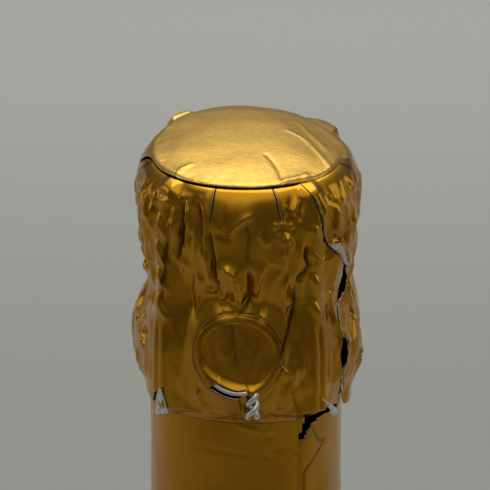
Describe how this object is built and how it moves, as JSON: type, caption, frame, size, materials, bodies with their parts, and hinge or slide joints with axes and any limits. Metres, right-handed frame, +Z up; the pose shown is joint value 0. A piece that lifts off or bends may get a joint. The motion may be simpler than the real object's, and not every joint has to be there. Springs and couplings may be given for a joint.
{
  "type": "champagne bottle",
  "caption": "Sparkling wine bottle with punt and cage ring, closed with a mushroom cork, a wire cage with pull loop and a crumpled gold foil.",
  "frame": {"origin": "centre of the bearing ring on which the bottle stands", "axes": "+Z up the bottle's axis towards the cork; the wire loop is at the front, towards -Y"},
  "size_m": [0.0886, 0.0886, 0.3176],
  "materials": {
    "green_glass": "polished",
    "wine": "gloss",
    "cork": "matte",
    "natural_cork": "matte",
    "lacquered_steel": "satin",
    "steel_wire": "satin",
    "bright_foil": "satin",
    "gold_foil": "satin"
  },
  "bodies": {
    "bottle": {"glass_bottle": "green_glass", "wine": "wine", "foil_sleeve": "gold_foil"},
    "cork": {"cork_body": "cork", "cork_disc_upper": "natural_cork", "cork_disc_lower": "natural_cork"},
    "muselet": {"muselet_plaque": "lacquered_steel", "cage_wire": "steel_wire", "belt_wire": "steel_wire"},
    "loop": {"wire_loop": "steel_wire"},
    "foil": {"foil_disc": "bright_foil", "foil_cap": "gold_foil"}
  },
  "joints": [
    {"name": "cork_pull", "type": "slide", "parent": "bottle", "child": "cork", "axis": [0, 0, 1], "range_m": [0, 0.045], "deforming": ["cage_wire", "belt_wire", "foil_cap"]},
    {"name": "muselet_lift", "type": "slide", "parent": "cork", "child": "muselet", "axis": [0, 0, 1], "range_m": [0, 0.05], "deforming": ["cage_wire", "belt_wire", "foil_cap"]},
    {"name": "loop_swing", "type": "hinge", "parent": "muselet", "child": "loop", "pos_m": [0.00094, -0.01787, 0.2796], "axis": [0.9986, 0.0523, 0], "range_deg": [0, 110], "deforming": ["foil_cap"]},
    {"name": "foil_lift", "type": "slide", "parent": "muselet", "child": "foil", "axis": [0, 0, 1], "range_m": [0, 0.05], "deforming": ["foil_cap"]}
  ]
}
